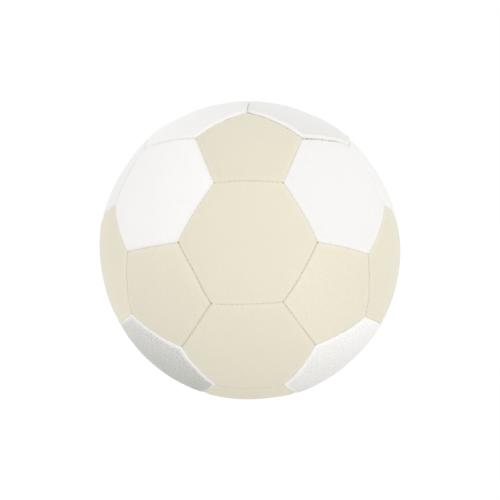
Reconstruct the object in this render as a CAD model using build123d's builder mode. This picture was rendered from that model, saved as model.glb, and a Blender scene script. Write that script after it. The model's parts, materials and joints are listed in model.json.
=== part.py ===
from build123d import *
import math
import os

# A stuffed, sewn medicine ball: a cover of 12 pentagon and 20 hexagon panels, each backed with
# foam, round a lining bag, fibre filling and a tied bag of grit. Millimetres, +Z up. The origin
# is on the floor, in the middle of the flat that the ball's weight presses into its underside.
# The front is -Y. Hours of the clock in the panels' names are as seen from the front.

# Driving dimensions
ball_radius = 110.0
floor_flat_radius = 20.0
front_panel_tilt = 4.8  # degrees that the front hexagon faces upwards
face_thickness = 1.2
face_edge_radius = 2.6  # the rolled edge of a cover panel, along its seams
seam_gap = 0.5
turned_in_depth = 6.4  # how deep the turned-in edges of the panels reach
foam_thickness = 5.0
fit_gap = 0.1
loose_gap = 0.3
lining_thickness = 0.8
thread_radius = 0.4
thread_depth = 4.2
thread_end_gap = 1.0
bag_radius = 36.0
bag_thickness = 1.2
bag_neck_radius = 8.0
bag_frill_radius = 13.0
bag_neck_height = 14.0
bag_shoulder_angle = 64  # degrees up from the bag's middle to where its neck starts
tie_radius = 1.5

# Derived dimensions
centre_height = math.sqrt(ball_radius**2 - floor_flat_radius**2)
face_inner_radius = ball_radius - face_thickness
foam_outer_radius = face_inner_radius - fit_gap
foam_inner_radius = foam_outer_radius - foam_thickness
turned_in_radius = ball_radius - turned_in_depth
lining_outer_radius = min(foam_inner_radius, turned_in_radius) - loose_gap
lining_inner_radius = lining_outer_radius - lining_thickness
filling_radius = lining_inner_radius - loose_gap
thread_ring_radius = ball_radius - thread_depth
bag_inner_radius = bag_radius - bag_thickness
tie_ring_radius = bag_neck_radius + tie_radius + fit_gap

# A ball of 12 pentagons and 20 hexagons is a truncated icosahedron. With an edge of 1 its corners
# are corner_ratio from its centre, and a panel's corners are these distances from its middle.
golden = (1 + math.sqrt(5)) / 2
corner_ratio = math.sqrt(58 + 18 * math.sqrt(5)) / 4
panel_corner_ratio = {5: 0.5 / math.sin(math.pi / 5), 6: 1.0}
pentagon_spacing = math.degrees(math.atan(2))  # the angle between neighbouring pentagons
seam_angle = 2 * math.degrees(math.asin(0.5 / corner_ratio))  # the angle that a seam spans

ball_centre = Vector(0, 0, centre_height)
tilt = math.radians(front_panel_tilt)
front = Vector(0, -math.cos(tilt), math.sin(tilt))
right = Vector(1, 0, 0)
upward = front.cross(right)

# Six zones from front to back, by their largest angle from the front, in degrees
zones = {
    "front_centre": 20,
    "front": 60,
    "front_side": 90,
    "back_side": 120,
    "back": 160,
    "back_centre": 181,
}

os.makedirs("parts", exist_ok=True)


def export(part, name):
    part.label = name
    export_step(part, f"parts/{name}.step")


# Where the panels and seams are


def pentagon_centres():
    """Unit vectors to the 12 pentagons, turned so that a hexagon faces the front."""
    corners = []
    for a in (-1, 1):
        for b in (-golden, golden):
            corners += [Vector(0, a, b), Vector(a, b, 0), Vector(b, 0, a)]
    axis = Vector(1, 1, 1).normalized()
    nearest = Vector(0, 1, golden)
    up = (nearest - axis * nearest.dot(axis)).normalized()
    side = up.cross(axis)
    return [
        (right * c.dot(side) + upward * c.dot(up) + front * c.dot(axis)).normalized()
        for c in corners
    ]


def are_neighbours(a, b):
    return abs(a.get_angle(b) - pentagon_spacing) < 1


def corner_between(a, b):
    """The panel corner a third of the way from pentagon a to its neighbour b."""
    return (a * 2 + b).normalized()


def hexagons_and_corners():
    """For each of the 20 hexagons, the unit vectors to its middle and to one of its corners."""
    found = []
    for i, a in enumerate(pentagons):
        for j, b in enumerate(pentagons[:i]):
            for c in pentagons[:j]:
                if are_neighbours(a, b) and are_neighbours(b, c) and are_neighbours(a, c):
                    found.append(((a + b + c).normalized(), corner_between(a, b)))
    return found


def pentagons_and_corners():
    """For each of the 12 pentagons, the unit vectors to its middle and to one of its corners."""
    return [
        (a, corner_between(a, next(b for b in pentagons if are_neighbours(a, b))))
        for a in pentagons
    ]


def seam_ends():
    """The pairs of corners that the 90 seams run between."""
    found = []
    for i, a in enumerate(pentagons):
        for b in pentagons[:i]:
            if are_neighbours(a, b):
                found.append((corner_between(a, b), corner_between(b, a)))
    for a in pentagons:
        around = [b for b in pentagons if are_neighbours(a, b)]
        for i, b in enumerate(around):
            for c in around[:i]:
                if are_neighbours(b, c):
                    found.append((corner_between(a, b), corner_between(a, c)))
    return found


def zone_and_hour(centre):
    """Where on the ball a panel is, such as front_side_9_oclock."""
    from_front = centre.get_angle(front)
    zone = next(name for name, limit in zones.items() if from_front < limit)
    if zone.endswith("centre"):
        return zone
    turned = math.degrees(math.atan2(centre.dot(upward), centre.dot(right)))
    hour = round((90 - turned) / 30) % 12
    return f"{zone}_{hour or 12}_oclock"


def panel_place(centre, corner):
    """A place at the ball's centre, its Z through a panel's middle and its X towards a corner."""
    towards = (corner - centre * corner.dot(centre)).normalized()
    return Location(Plane(origin=ball_centre, x_dir=towards, z_dir=centre))


def panel_half_angle(sides):
    """The angle at the ball's centre between a panel's middle and the middle of its side."""
    corner_angle = math.asin(panel_corner_ratio[sides] / corner_ratio)
    return math.atan(math.tan(corner_angle) * math.cos(math.pi / sides))


# The shapes that the cover repeats, made about the ball's centre with the panel at the top


def side_plane(sides, i, side_gap):
    """The plane of a panel's side i, its Z out of the panel, moved in by side_gap."""
    half_angle = panel_half_angle(sides)
    turn = (i + 0.5) * 2 * math.pi / sides
    along = Vector(-math.sin(turn), math.cos(turn), 0)
    across = Vector(
        math.cos(half_angle) * math.cos(turn),
        math.cos(half_angle) * math.sin(turn),
        -math.sin(half_angle),
    )
    return Plane(origin=across * -side_gap, x_dir=along, z_dir=across)


def panel_block(sides, outer_radius, inner_radius, side_gap, edge_radius):
    """A panel of a hollow ball, its sides moved in by side_gap and its outer edges rounded."""
    with BuildPart() as block:
        Sphere(outer_radius, rotation=(90, 0, 0))
        for i in range(sides):
            split(bisect_by=side_plane(sides, i, side_gap), keep=Keep.BOTTOM)
        fillet(block.faces().filter_by(GeomType.SPHERE).edges(), edge_radius)
        Sphere(inner_radius, rotation=(90, 0, 0), mode=Mode.SUBTRACT)
    return block.part


def face_outside(sides):
    """The outside of a cover panel, with a channel for the thread along each side."""
    with BuildPart() as outside:
        add(panel_block(sides, ball_radius, turned_in_radius, seam_gap / 2, face_edge_radius))
        with Locations([side_plane(sides, i, 0) for i in range(sides)]):
            Torus(thread_ring_radius, thread_radius + fit_gap, mode=Mode.SUBTRACT)
    return outside.part


def face_inside(sides):
    """The space that a cover panel leaves behind it for its foam."""
    return panel_block(
        sides,
        face_inner_radius,
        turned_in_radius - face_thickness,
        seam_gap / 2 + face_thickness,
        face_edge_radius - face_thickness,
    )


def foam_block(sides):
    """The foam behind a cover panel, a slack fit inside its turned-in edges."""
    return panel_block(
        sides,
        foam_outer_radius,
        foam_inner_radius,
        seam_gap / 2 + face_thickness + fit_gap,
        face_edge_radius - face_thickness - fit_gap,
    )


def big_box(bottom):
    """A box wider than the ball, its underside at a height above the floor."""
    side = 2 * ball_radius
    place = Location((0, 0, bottom + side / 2))
    return Box(side, side, side, mode=Mode.PRIVATE).moved(place)


def is_pressed(centre):
    """Whether the flat that the ball rests on reaches into a panel."""
    reach = math.asin(panel_corner_ratio[6] / corner_ratio) + math.asin(
        floor_flat_radius / ball_radius
    )
    return centre.Z < -math.cos(reach)


def foam_backings(sides, panels):
    """All the foam pieces of one shape, those over the floor pressed flat."""
    block = foam_block(sides)
    pressed = [panel_place(*panel) for panel in panels if is_pressed(panel[0])]
    round_ones = [panel_place(*panel) for panel in panels if not is_pressed(panel[0])]
    over_floor = big_box(face_thickness + fit_gap)
    with BuildPart() as backings:
        with Locations(pressed):
            add(block)
        add(over_floor, mode=Mode.INTERSECT)
        with Locations(round_ones):
            add(block)
    return backings.part


def thread_strand():
    """The thread of one seam, about the ball's centre, its middle over X and its seam in XY."""
    strand_angle = seam_angle - 2 * math.degrees(thread_end_gap / thread_ring_radius)
    with BuildPart() as strand:
        with BuildSketch(Plane.XZ):
            with Locations((thread_ring_radius, 0)):
                Circle(thread_radius)
        revolve(axis=Axis.Z, revolution_arc=strand_angle)
    return strand.part.rotate(Axis.Z, -strand_angle / 2)


def seam_place(start, end):
    """A place at the ball's centre, its X through the middle of a seam and its Z across it."""
    middle = (start + end).normalized()
    return Location(Plane(origin=ball_centre, x_dir=middle, z_dir=start.cross(end).normalized()))


# The cover

pentagons = pentagon_centres()
panels_of = {6: hexagons_and_corners(), 5: pentagons_and_corners()}
shape_names = {6: "hexagon", 5: "pentagon"}

for sides, panels in panels_of.items():
    outside = face_outside(sides)
    inside = face_inside(sides)
    for middle, corner in panels:
        place = panel_place(middle, corner)
        outside_here = outside.moved(place)
        inside_here = inside.moved(place)
        if is_pressed(middle):
            outside_here = outside_here & big_box(0)
            inside_here = inside_here & big_box(face_thickness)
        with BuildPart() as panel:
            add(outside_here)
            add(inside_here, mode=Mode.SUBTRACT)
        export(panel.part, f"{shape_names[sides]}_{zone_and_hour(middle)}")
    export(foam_backings(sides, panels), f"{shape_names[sides]}_foam_backings")

# The thread: the seam that the ball was stuffed through is sewn last, by hand

strand = thread_strand()
seams = seam_ends()
rearmost_first = sorted(seams, key=lambda ends: (ends[0] + ends[1]).dot(front))
stuffing_seam = rearmost_first[0]

with BuildPart() as closing_thread:
    add(strand.moved(seam_place(*stuffing_seam)))
export(closing_thread.part, "closing_thread")

with BuildPart() as seam_thread:
    with Locations([seam_place(*ends) for ends in seams if ends is not stuffing_seam]):
        add(strand)
export(seam_thread.part, "seam_thread")

# The lining bag and the filling, each in an upper and a lower half

bag_top = bag_radius + bag_neck_height

halves = {
    "upper": big_box(centre_height + loose_gap / 2),
    "lower": big_box(centre_height - loose_gap / 2 - 2 * ball_radius),
}

for name, half in halves.items():
    with BuildPart() as lining:
        with Locations(ball_centre):
            Sphere(lining_outer_radius)
            Sphere(lining_inner_radius, mode=Mode.SUBTRACT)
        add(half, mode=Mode.INTERSECT)
    export(lining.part, f"lining_bag_{name}")

    with BuildPart() as filling:
        with Locations(ball_centre):
            Sphere(filling_radius)
            Sphere(bag_radius + loose_gap, mode=Mode.SUBTRACT)
            Cylinder(
                bag_frill_radius + loose_gap,
                bag_top + loose_gap,
                align=(Align.CENTER, Align.CENTER, Align.MIN),
                mode=Mode.SUBTRACT,
            )
        add(half, mode=Mode.INTERSECT)
    export(filling.part, f"fibre_filling_{name}")

# The weight in the middle: a canvas bag with its neck tied, full of grit

tie_height = bag_radius + bag_neck_height / 3

with BuildPart() as weight_bag:
    with BuildSketch(Plane(origin=ball_centre, x_dir=right, z_dir=(0, -1, 0))):
        with BuildLine():
            body = CenterArc((0, 0), bag_radius, -90, 90 + bag_shoulder_angle)
            neck = Spline(
                body @ 1,
                (bag_neck_radius, tie_height),
                (bag_frill_radius, bag_top),
                tangents=(body % 1, (1, 1)),
            )
            Polyline(neck @ 1, (0, bag_top), body @ 0)
        make_face()
    revolve(axis=Axis(ball_centre, (0, 0, 1)))
    with Locations(ball_centre):
        Sphere(bag_inner_radius, mode=Mode.SUBTRACT)
export(weight_bag.part, "weight_bag")

with BuildPart() as bag_tie:
    with Locations(ball_centre + Vector(0, 0, tie_height)):
        Torus(tie_ring_radius, tie_radius)
export(bag_tie.part, "weight_bag_tie")

with BuildPart() as grit:
    with Locations(ball_centre):
        Sphere(bag_inner_radius - fit_gap)
export(grit.part, "grit_filling")
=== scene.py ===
import functools
import itertools
import json
import math

import bpy
import bmesh
import numpy as np
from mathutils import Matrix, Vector

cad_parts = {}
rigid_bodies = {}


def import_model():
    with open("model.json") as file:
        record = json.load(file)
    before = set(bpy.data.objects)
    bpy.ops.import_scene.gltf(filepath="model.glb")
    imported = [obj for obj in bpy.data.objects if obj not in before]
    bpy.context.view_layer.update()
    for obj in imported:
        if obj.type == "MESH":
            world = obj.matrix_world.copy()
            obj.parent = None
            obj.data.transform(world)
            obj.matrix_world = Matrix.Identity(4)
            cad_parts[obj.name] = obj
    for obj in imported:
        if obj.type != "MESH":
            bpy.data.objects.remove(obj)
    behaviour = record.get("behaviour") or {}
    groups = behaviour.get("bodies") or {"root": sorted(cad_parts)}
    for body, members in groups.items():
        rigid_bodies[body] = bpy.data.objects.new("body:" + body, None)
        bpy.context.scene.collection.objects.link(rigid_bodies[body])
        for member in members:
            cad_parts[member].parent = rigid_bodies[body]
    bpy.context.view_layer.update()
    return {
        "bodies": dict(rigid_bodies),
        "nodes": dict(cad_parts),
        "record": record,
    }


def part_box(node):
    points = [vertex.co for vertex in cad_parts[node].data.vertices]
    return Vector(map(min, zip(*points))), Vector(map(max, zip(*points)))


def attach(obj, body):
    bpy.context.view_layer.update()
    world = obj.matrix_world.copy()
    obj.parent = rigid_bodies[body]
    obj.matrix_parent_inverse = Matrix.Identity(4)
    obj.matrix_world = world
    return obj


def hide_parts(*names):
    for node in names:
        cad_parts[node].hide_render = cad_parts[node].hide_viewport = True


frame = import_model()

# The looks of a stuffed, sewn medicine ball: 32 padded cloth panels, the thread between them, and
# what is inside. Metres, +Z up, the front is -Y, as in the CAD model.

body = next(iter(frame["bodies"]))
slot_of = {part["node"]: part["material_slot"] for part in frame["record"]["subparts"]}

MM = 0.001

# Sizes that the CAD model gives
grit_low, grit_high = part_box("grit_filling")
CENTRE = np.array((grit_low + grit_high) / 2)
GRIT_RADIUS = (grit_high - grit_low).x / 2
tie_low, tie_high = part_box("weight_bag_tie")
TIE_HEIGHT = (tie_low.z + tie_high.z) / 2 - CENTRE[2]
TIE_CORD_RADIUS = (tie_high - tie_low).z / 2
TIE_RING_RADIUS = (tie_high - tie_low).x / 2 - TIE_CORD_RADIUS
lining_low, lining_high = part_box("lining_bag_upper")
LINING_RADIUS = (lining_high - lining_low).x / 2
filling_low, filling_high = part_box("fibre_filling_upper")
FILLING_RADIUS = (filling_high - filling_low).x / 2
bag_low, bag_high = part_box("weight_bag")
BAG_RADIUS = CENTRE[2] - bag_low.z
BAG_TOP = bag_high.z - CENTRE[2]
front_panel = frame["nodes"]["hexagon_front_centre"]
BALL_RADIUS = max(np.linalg.norm(np.array(v.co) - CENTRE) for v in front_panel.data.vertices)

# The cover
FRONT_PANEL_TILT = math.radians(4.8)
# A panel's edge where it turns into a seam: the radius of its roll and the drop of its shoulder,
# by its own cloth and its neighbour's. White panels lap over cream ones.
EDGE_SHAPES = {
    ("cream_fabric", "cream_fabric"): (0.95 * MM, 0.4 * MM),
    ("cream_fabric", "white_fabric"): (0.25 * MM, 0.35 * MM),
    ("white_fabric", "cream_fabric"): (0.65 * MM, 0.05 * MM),
    ("white_fabric", "white_fabric"): (0.8 * MM, 0.3 * MM),
}
SHOULDER_WIDTH = 2.6 * MM
# How tightly some seams are drawn in, beside the even run of them
SEAM_TIGHTNESS = {
    "hex 6 / hex centre": 0.5,
    "hex centre / pent 12": 0.55,
    "hex 6 / pent side 6": 0.8,
    "hex 2 / hex side 1": 1.8,
    "hex side 1 / hex side 11": 0.4,
}
TIGHTNESS_SPREAD = 0.08
# Seams which gape a little, so their stitches show: half the gap, how deep the stitches lie, and how
# far they dip at their ends
GAPING = {
    "hex 2 / hex side 1": (0.3 * MM, 1.0 * MM, 0.5 * MM),
    "hex side 1 / pent 12": (0.15 * MM, 0.35 * MM, 0.5 * MM),
}
# Panels whose edges stand proud of their neighbours', and how far
LAPPING = {
    "hex side 1": 0.7 * MM,
    "hex side 11": 0.25 * MM,
    "hex side 7": 0.15 * MM,
    "hex side 5": 0.12 * MM,
}
CREAM_UNDER = 0.3  # how much of that a cream neighbour's edge sinks beneath them
SEAM_GAP = 0.1 * MM
CORNER_POWER = 3  # how tightly the rolls of two sides blend at a corner
EDGE_FADE = 1.2 * MM  # how far in from a panel's edge its rim and gathers are full
PUSH_BLEND, STAND_BLEND = 0.4 * MM, 1.5 * MM  # how softly two sides take over at a corner
TURNED_IN_DEPTH = 6.2 * MM
CLOTH_THICKNESS = 1.2 * MM
EDGE_ROWS = np.array([0, 0.03, 0.1, 0.22, 0.4, 0.64, 0.95, 1.4, 2.0, 2.9, 4.1]) * MM
TURNED_IN_EDGE = (  # its outline in section: depth, and how far in from the seam
    (2.6 * MM, 0.0),
    (TURNED_IN_DEPTH - 0.4 * MM, 0.0),
    (TURNED_IN_DEPTH, 0.35 * MM),
    (TURNED_IN_DEPTH, CLOTH_THICKNESS - 0.35 * MM),
    (TURNED_IN_DEPTH - 0.4 * MM, CLOTH_THICKNESS),
    (3.2 * MM, CLOTH_THICKNESS),
)
ROW_SPACING = 1.5 * MM
INNER_ROWS_KEPT = 4  # the unseen inner side has every fourth row of the outer one

# The cloth simulation of the cover
CLOTH_CELLS = 8  # along each side of a panel's kites
CLOTH_FRAMES = 20
CLOTH_SETTINGS = {
    "quality": 6,
    "mass": 0.3,
    "tension_stiffness": 30,
    "compression_stiffness": 30,
    "shear_stiffness": 10,
    "bending_stiffness": 0.5,
    "use_pressure": True,
    "uniform_pressure_force": 4,
    "shrink_min": 0,
    "shrink_max": 0.015,  # of the cloth at the seams
}
PILLOW_HEIGHT = 1.1 * MM  # how far the middle of a panel may stand above its seams
SEAM_DEPTH_SHARE = 0.6  # how much of that is below the even ball

# How uneven a stuffed ball is
LUMP_SIZE, LUMP_HEIGHT = 85 * MM, 0.28 * MM
DIMPLE_SIZE, DIMPLE_HEIGHT = 22 * MM, 0.07 * MM
PUCKER_SIZES = (5.2 * MM, 7.9 * MM, 12.5 * MM)
PUCKER_HEIGHT, PUCKER_REACH = 0.09 * MM, 4.5 * MM
RIM_HEIGHT = {"white_fabric": 0.22 * MM, "cream_fabric": 0.05 * MM}
RIM_PLACE, RIM_WIDTH = 1.9 * MM, 1.2 * MM
FLOOR_SOFTNESS = 0.2 * MM

# The thread
STITCH_LENGTH, POINTS_PER_STITCH = 3.1 * MM, 7
RUNG_SPACING, POINTS_PER_RUNG = 1.3 * STITCH_LENGTH, 10  # of the closing seam's ladder
THREAD_RADIUS = 0.3 * MM
THREAD_DEPTHS = (1.05 * MM, 0.42 * MM, 1.0 * MM)  # by how many of the two panels are white
THREAD_DIPS = (0.35 * MM, 0.25 * MM, 0.35 * MM)
# painted shade on the thread where it goes into the needle holes
HOLE_SHADE, OPEN_HOLE_SHADE = 0.3, 0.75  # how dark the thread is where it goes into the cloth
THREAD_SIDES = 6

# What is inside the ball
LINING_THICKNESS, GORES = 0.8 * MM, 8
CANVAS_THICKNESS = 1.2 * MM
CORD_STRANDS, CORD_TURNS, CORD_TWISTS = 3, 2, 11  # twists in each turn
PAD_CLEARANCE = 0.7 * MM  # beside the turned-in cloth
PAD_STEPS = (0, 0.22, 0.44, 0.66, 0.84, 0.93, 0.975, 1.0)  # from a pad's middle to its edge
GRAINS, GRAIN_STEEPNESS = 1500, 900

RANDOM_START = 7
golden = (1 + math.sqrt(5)) / 2


def random_draws(start):
    """Random draws which are the same on every run."""
    return np.random.default_rng(RANDOM_START + start)


def unit(v):
    return v / np.linalg.norm(v, axis=-1, keepdims=True)


def bell(distances, width):
    return np.exp(-((distances / width) ** 2))


# ---- where the panels are ----

FRONT = np.array([0, -math.cos(FRONT_PANEL_TILT), math.sin(FRONT_PANEL_TILT)])
RIGHT = np.array([1.0, 0, 0])
UPWARD = np.cross(FRONT, RIGHT)
ZONES = {  # how many degrees from the front each ends at
    "front_centre": 20, "front": 60, "front_side": 90,
    "back_side": 120, "back": 160, "back_centre": 181,
}


def pentagon_centres():
    corners = []
    for a in (-1, 1):
        for b in (-golden, golden):
            corners += [np.array(c) for c in ((0, a, b), (a, b, 0), (b, 0, a))]
    axis = unit(np.array([1.0, 1, 1]))
    nearest = np.array([0, 1, golden])
    up = unit(nearest - axis * (nearest @ axis))
    side = np.cross(up, axis)
    return [unit(RIGHT * (c @ side) + UPWARD * (c @ up) + FRONT * (c @ axis)) for c in corners]


def angle_between(a, b):
    return math.degrees(math.acos(max(-1, min(1, a @ b))))


def are_neighbours(a, b):
    return abs(angle_between(a, b) - math.degrees(math.atan(2))) < 1


def corner_between(a, b):
    return unit(2 * a + b)


def zone_and_hour(centre):
    zone = next(name for name, limit in ZONES.items() if angle_between(centre, FRONT) < limit)
    if zone.endswith("centre"):
        return zone
    turned = math.degrees(math.atan2(centre @ UPWARD, centre @ RIGHT))
    hour = round((90 - turned) / 30) % 12
    return f"{zone}_{hour or 12}_oclock"


def short_label(node):
    """How the tables name a panel: hexagon_front_side_1_oclock is hex side 1."""
    for long, short in (("agon", ""), ("_front", ""), ("_oclock", ""), ("_", " ")):
        node = node.replace(long, short)
    return node


class Panel:
    """A hexagon or pentagon of the cover, its corners anticlockwise seen from outside."""

    def __init__(self, shape, middle, corners):
        self.node = f"{shape}_{zone_and_hour(middle)}"
        self.label = short_label(self.node)
        self.slot = slot_of[self.node]
        self.middle = middle
        self.across = unit(corners[0] - middle * (corners[0] @ middle))
        self.along = np.cross(middle, self.across)
        corners.sort(key=lambda c: math.atan2(c @ self.along, c @ self.across))
        self.corners = corners
        self.sides = len(corners)
        following = corners[1:] + corners[:1]
        self.inward = np.array([unit(np.cross(c, d)) for c, d in zip(corners, following)])
        self.side_middles = [unit(c + d) for c, d in zip(corners, following)]
        self.reach = BALL_RADIUS * math.acos(middle @ self.side_middles[0])
        self.rolls = self.shoulders = self.gaps = self.stands = self.by_white = None

    def meet(self, pairs):
        """Notes how each side rolls into its seam, from the panel on the other side of it."""
        sides = []
        for side_middle in self.side_middles:
            pair = pairs[seam_key(side_middle)]
            other = pair[0] if pair[1] is self else pair[1]
            roll, shoulder = EDGE_SHAPES[self.slot, other.slot]
            tight = tightness(pair, side_middle)
            under = 0 if self.label in LAPPING else LAPPING.get(other.label, 0)
            if self.slot == "cream_fabric":
                under *= CREAM_UNDER
            gap = GAPING.get(seam_name(pair), (SEAM_GAP,))[0]
            stand = 0 if other.label in LAPPING else LAPPING.get(self.label, 0)
            white = other.slot == "white_fabric"
            sides.append((roll * tight, shoulder * tight + under, gap, stand, white))
        self.rolls, self.shoulders, self.gaps, self.stands, self.by_white = np.array(sides).T

    def kites(self):
        """The middles of the sides before and after each corner, and the corner."""
        for i, corner in enumerate(self.corners):
            yield self.side_middles[i - 1], corner, self.side_middles[i]

    def grid(self, steps):
        """Unit vectors to a grid over each kite: (kite, towards one side, towards the next)."""
        a, b = np.meshgrid(steps, steps, indexing="ij")
        a, b = a[..., None], b[..., None]
        grids = []
        for before, corner, after in self.kites():
            m, p, c, q = (v / (v @ self.middle) for v in (self.middle, before, corner, after))
            grids.append(unit((1 - a) * (1 - b) * m + a * (1 - b) * p + a * b * c + (1 - a) * b * q))
        return np.array(grids)

    def side_distances(self, directions):
        return BALL_RADIUS * np.arcsin(np.clip(directions @ self.inward.T, -1, 1))

    def side_places(self, directions):
        """How far along each side a point is, from the side's middle."""
        ahead = np.cross(self.inward, np.array(self.side_middles))
        over = directions @ np.array(self.side_middles).T
        return BALL_RADIUS * np.arctan2(directions @ ahead.T, over)


def all_panels():
    pentagons = pentagon_centres()
    found = []
    for a in pentagons:
        corners = [corner_between(a, b) for b in pentagons if are_neighbours(a, b)]
        found.append(Panel("pentagon", a, corners))
    for trio in itertools.combinations(pentagons, 3):
        if all(are_neighbours(a, b) for a, b in itertools.combinations(trio, 2)):
            corners = [corner_between(a, b) for a, b in itertools.permutations(trio, 2)]
            found.append(Panel("hexagon", unit(sum(trio)), corners))
    return found


# Places on the cover off their even ones, each named by the panels round it, by how many mm
# towards the ball's right and top
ASKEW = {
    "hex centre / hex 6 / pent 8": (-2.2, -1.4),
    "hex centre / hex 10 / pent 8": (-1.5, 0),
    "hex 10 / hex side 9 / pent 8": (-3, 0),
    "hex 2 / hex side 3 / pent 4": (0, -1.5),
    "hex side 3 / hex side 5 / pent 4": (0, -2),
    "hex 6 / hex side 7 / pent 8": (-1, -2.2),
    "hex 6 / hex side 7 / pent side 6": (-0.6, 0.2),
    "hex 6 / hex side 5 / pent side 6": (1.5, 0),
    "hex side 11 / hex side 1 / pent 12": (-1.5, 0),
    "hex side 3 / pent 4": (-3, 0),
    "hex 10 / hex side 11 / pent side 10": (-17, 15),
    "hex 2 / hex side 1 / pent side 2": (0, 6),
}
ASKEW_REACH = 20 * MM
# Bulges and hollows round the outline seen from the front: degrees anticlockwise from the ball's
# right, and mm
BULGES = (
    (25, -0.5), (40, -1.0), (67, -1.3), (83, -1.1), (98, -1.2), (130, 1.6),
    (170, 0.9), (195, -0.5), (222, -0.4), (252, 0.5), (290, 1.0), (328, 1.3),
)
OUTLINE_FORWARD = 0.16  # the outline lies a little in front of the ball's middle
BULGE_REACH = 16 * MM


def seam_key(side_middle):
    return tuple(np.round(side_middle, 4) + 0.0)


def pairs_at_seams(panels):
    pairs = {}
    for panel in panels:
        for side_middle in panel.side_middles:
            pairs.setdefault(seam_key(side_middle), []).append(panel)
    return pairs


def seam_name(pair):
    return " / ".join(sorted(panel.label for panel in pair))


def tightness(pair, side_middle):
    spread = smooth_noise(side_middle[None] * BALL_RADIUS, 20 * MM, 2)[0]
    return SEAM_TIGHTNESS.get(seam_name(pair), 1 + TIGHTNESS_SPREAD * spread)


def welded(points):
    """(which of the distinct points each point is, the distinct points)."""
    flat = points.reshape(-1, 3)
    rounded = np.round(flat, 7)
    _, first, inverse = np.unique(rounded, axis=0, return_index=True, return_inverse=True)
    return inverse.reshape(points.shape[:-1]), flat[first]


def grid_quads(index):
    """The quads of grids of vertex numbers, (kite, row, column)."""
    low, high = index[:, :-1], index[:, 1:]
    quads = (low[..., :-1], high[..., :-1], high[..., 1:], low[..., 1:])
    return np.stack(quads, axis=-1).reshape(-1, 4)


def band(one_loop, next_loop):
    """The quads between two closed loops of vertex numbers."""
    loops = (one_loop, next_loop, np.roll(next_loop, -1), np.roll(one_loop, -1))
    return np.column_stack(loops).tolist()


def bands(count, around):
    """The quads between loops of around vertices, one after another."""
    loops = np.arange(count * around).reshape(count, around)
    following = np.roll(loops, -1, axis=1)
    quads = (loops[:-1], following[:-1], following[1:], loops[1:])
    return np.stack(quads, axis=-1).reshape(-1, 4).tolist()


def rim_loop(index):
    """The vertex numbers round the edge of a panel's grids, anticlockwise."""
    loop = []
    for grid in index:
        loop += list(grid[-1, :-1])
        loop += list(grid[:0:-1, -1])
    return np.array(loop)


PANELS = all_panels()
MIDDLES = {panel.label: panel.middle for panel in PANELS}


# ---- meshes ----


def smooth_noise(points, size, start):
    """A smooth random field of spread 1 over points in metres, its bumps about half of size."""
    rng = random_draws(start)
    count = 28
    waves = unit(rng.normal(size=(count, 3))) * (2 * math.pi / size)
    phases = rng.uniform(0, 2 * math.pi, count)
    return np.cos(points @ waves.T + phases).sum(axis=1) * math.sqrt(2 / count)


def facing(points, faces, side=1):
    """A closed shape's faces turned outwards (side 1), or inwards round a hollow (side -1)."""
    volume = 0
    for face in faces:
        first = points[face[0]]
        for i, j in zip(face[1:], face[2:]):
            volume += first @ np.cross(points[i], points[j])
    return faces if volume * side > 0 else [list(face)[::-1] for face in faces]


def linked(name, data):
    """A new object of a mesh, light or camera, in the scene."""
    made = bpy.data.objects.new(name, data)
    bpy.context.scene.collection.objects.link(made)
    return made


def mesh_object(name, points, faces, hollow=False):
    mesh = bpy.data.meshes.new(name)
    mesh.from_pydata(np.asarray(points).tolist(), [], [[int(i) for i in f] for f in faces])
    mesh.validate()
    if not hollow:
        bm = bmesh.new()
        bm.from_mesh(mesh)
        bmesh.ops.recalc_face_normals(bm, faces=bm.faces)
        bm.to_mesh(mesh)
        bm.free()
    mesh.shade_smooth()
    return linked(name, mesh)


def bmesh_object(name, bm):
    mesh = bpy.data.meshes.new(name)
    bm.to_mesh(mesh)
    bm.free()
    return linked(name, mesh)


def finish_piece(piece, node, material):
    piece.data.materials.append(material)
    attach(piece, body)
    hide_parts(node)


def give_values(piece, name, values):
    """A value for each point of a piece, which its material reads."""
    attribute = piece.data.attributes.new(name, "FLOAT", "POINT")
    attribute.data.foreach_set("value", values)


# ---- the shape of the cover ----


def cloth_heights(panels):
    """How high each coarse grid point of the cover stands once its cloth is blown up, by panel."""
    steps = np.linspace(0, 1, CLOTH_CELLS + 1)
    grids = [panel.grid(steps) for panel in panels]
    index, directions = welded(np.concatenate(grids))
    splits = np.split(index, np.cumsum([len(g) for g in grids])[:-1])
    on_seam = np.zeros(len(directions), bool)
    for part in splits:
        on_seam[part[:, -1, :]] = True
        on_seam[part[:, :, -1]] = True
    mesh = bpy.data.meshes.new("cloth_form")
    mesh.from_pydata((directions * BALL_RADIUS).tolist(), [], grid_quads(index).tolist())
    form = linked("cloth_form", mesh)
    scene = bpy.context.scene
    seams = form.vertex_groups.new(name="seams")
    seams.add([int(i) for i in np.flatnonzero(on_seam)], 1.0, "REPLACE")
    cloth = form.modifiers.new("cloth", "CLOTH")
    for setting, value in CLOTH_SETTINGS.items():
        setattr(cloth.settings, setting, value)
    cloth.settings.vertex_group_shrink = seams.name
    cloth.settings.effector_weights.gravity = 0
    cloth.collision_settings.use_collision = False
    cloth.point_cache.frame_end = CLOTH_FRAMES
    for number in range(1, CLOTH_FRAMES + 1):
        scene.frame_set(number)
    done = form.evaluated_get(bpy.context.evaluated_depsgraph_get())
    places = np.empty(len(directions) * 3)
    done.data.vertices.foreach_get("co", places)
    heights = np.linalg.norm(places.reshape(-1, 3), axis=1) - BALL_RADIUS
    scene.frame_set(1)
    bpy.data.objects.remove(form)
    bpy.data.meshes.remove(mesh)
    low, high = np.percentile(heights, [2, 98])
    heights = (np.clip((heights - low) / (high - low), 0, 1) - SEAM_DEPTH_SHARE) * PILLOW_HEIGHT
    seam_heights = (directions[on_seam], heights[on_seam])
    return {p.node: heights[part] for p, part in zip(panels, splits)}, seam_heights


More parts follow.
